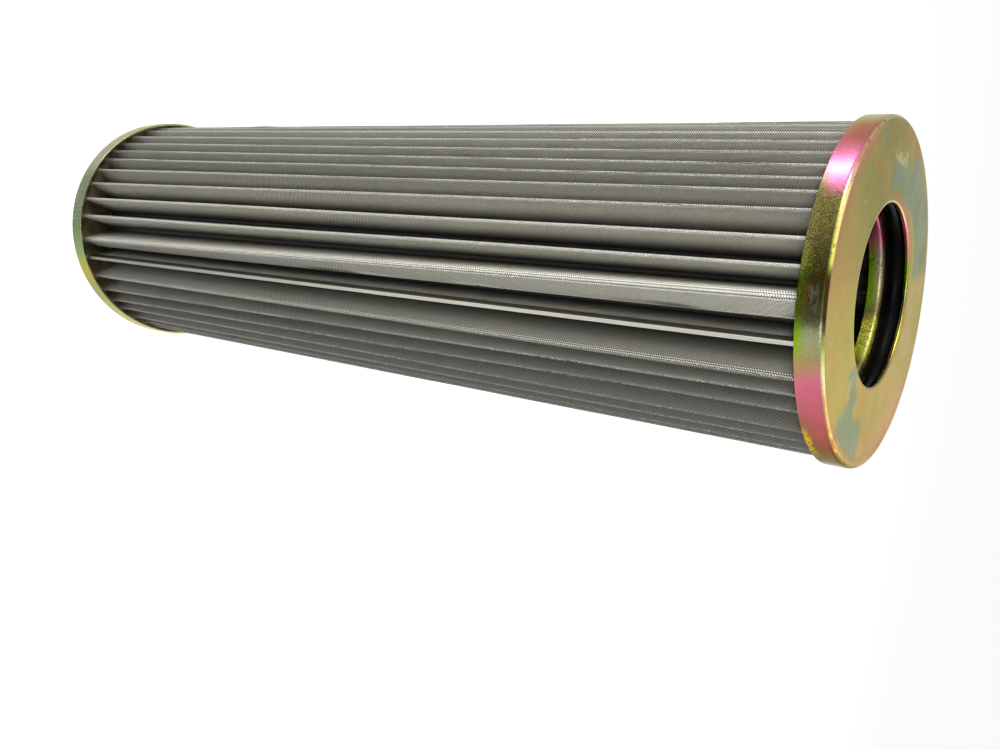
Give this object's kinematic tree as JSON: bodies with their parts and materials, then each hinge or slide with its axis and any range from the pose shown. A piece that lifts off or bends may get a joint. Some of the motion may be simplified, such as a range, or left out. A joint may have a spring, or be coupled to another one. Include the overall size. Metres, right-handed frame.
{
  "type": "hydraulic filter element",
  "caption": "Pleated wire-cloth filter element between two pressed end caps, with an O-ring sealed bore at each end.",
  "frame": {"origin": "centre of the bottom end cap's outer face, on which the element stands", "axes": "+Z along the element's axis to the top cap; the side seam of the pleated pack faces -Y"},
  "size_m": [0.08, 0.08, 0.273],
  "materials": {
    "zinc_plate": "zinc plated, yellow passivated, satin",
    "core_steel": "plain steel, dull",
    "wire_cloth": "woven stainless wire",
    "fine_cloth": "fine woven stainless wire",
    "seam_strip": "bright stainless strip",
    "seal_rubber": "smooth, slightly glossy",
    "epoxy": "dark cast resin"
  },
  "bodies": {
    "root": {"bottom_end_cap": "zinc_plate", "top_end_cap": "zinc_plate", "bottom_seal_housing": "zinc_plate", "top_seal_housing": "zinc_plate", "bottom_o_ring": "seal_rubber", "top_o_ring": "seal_rubber", "bottom_potting": "epoxy", "top_potting": "epoxy", "core_tube": "core_steel", "outer_support_mesh": "wire_cloth", "filter_mesh": "fine_cloth", "inner_support_mesh": "wire_cloth", "seam_clip": "seam_strip"}
  },
  "joints": []
}
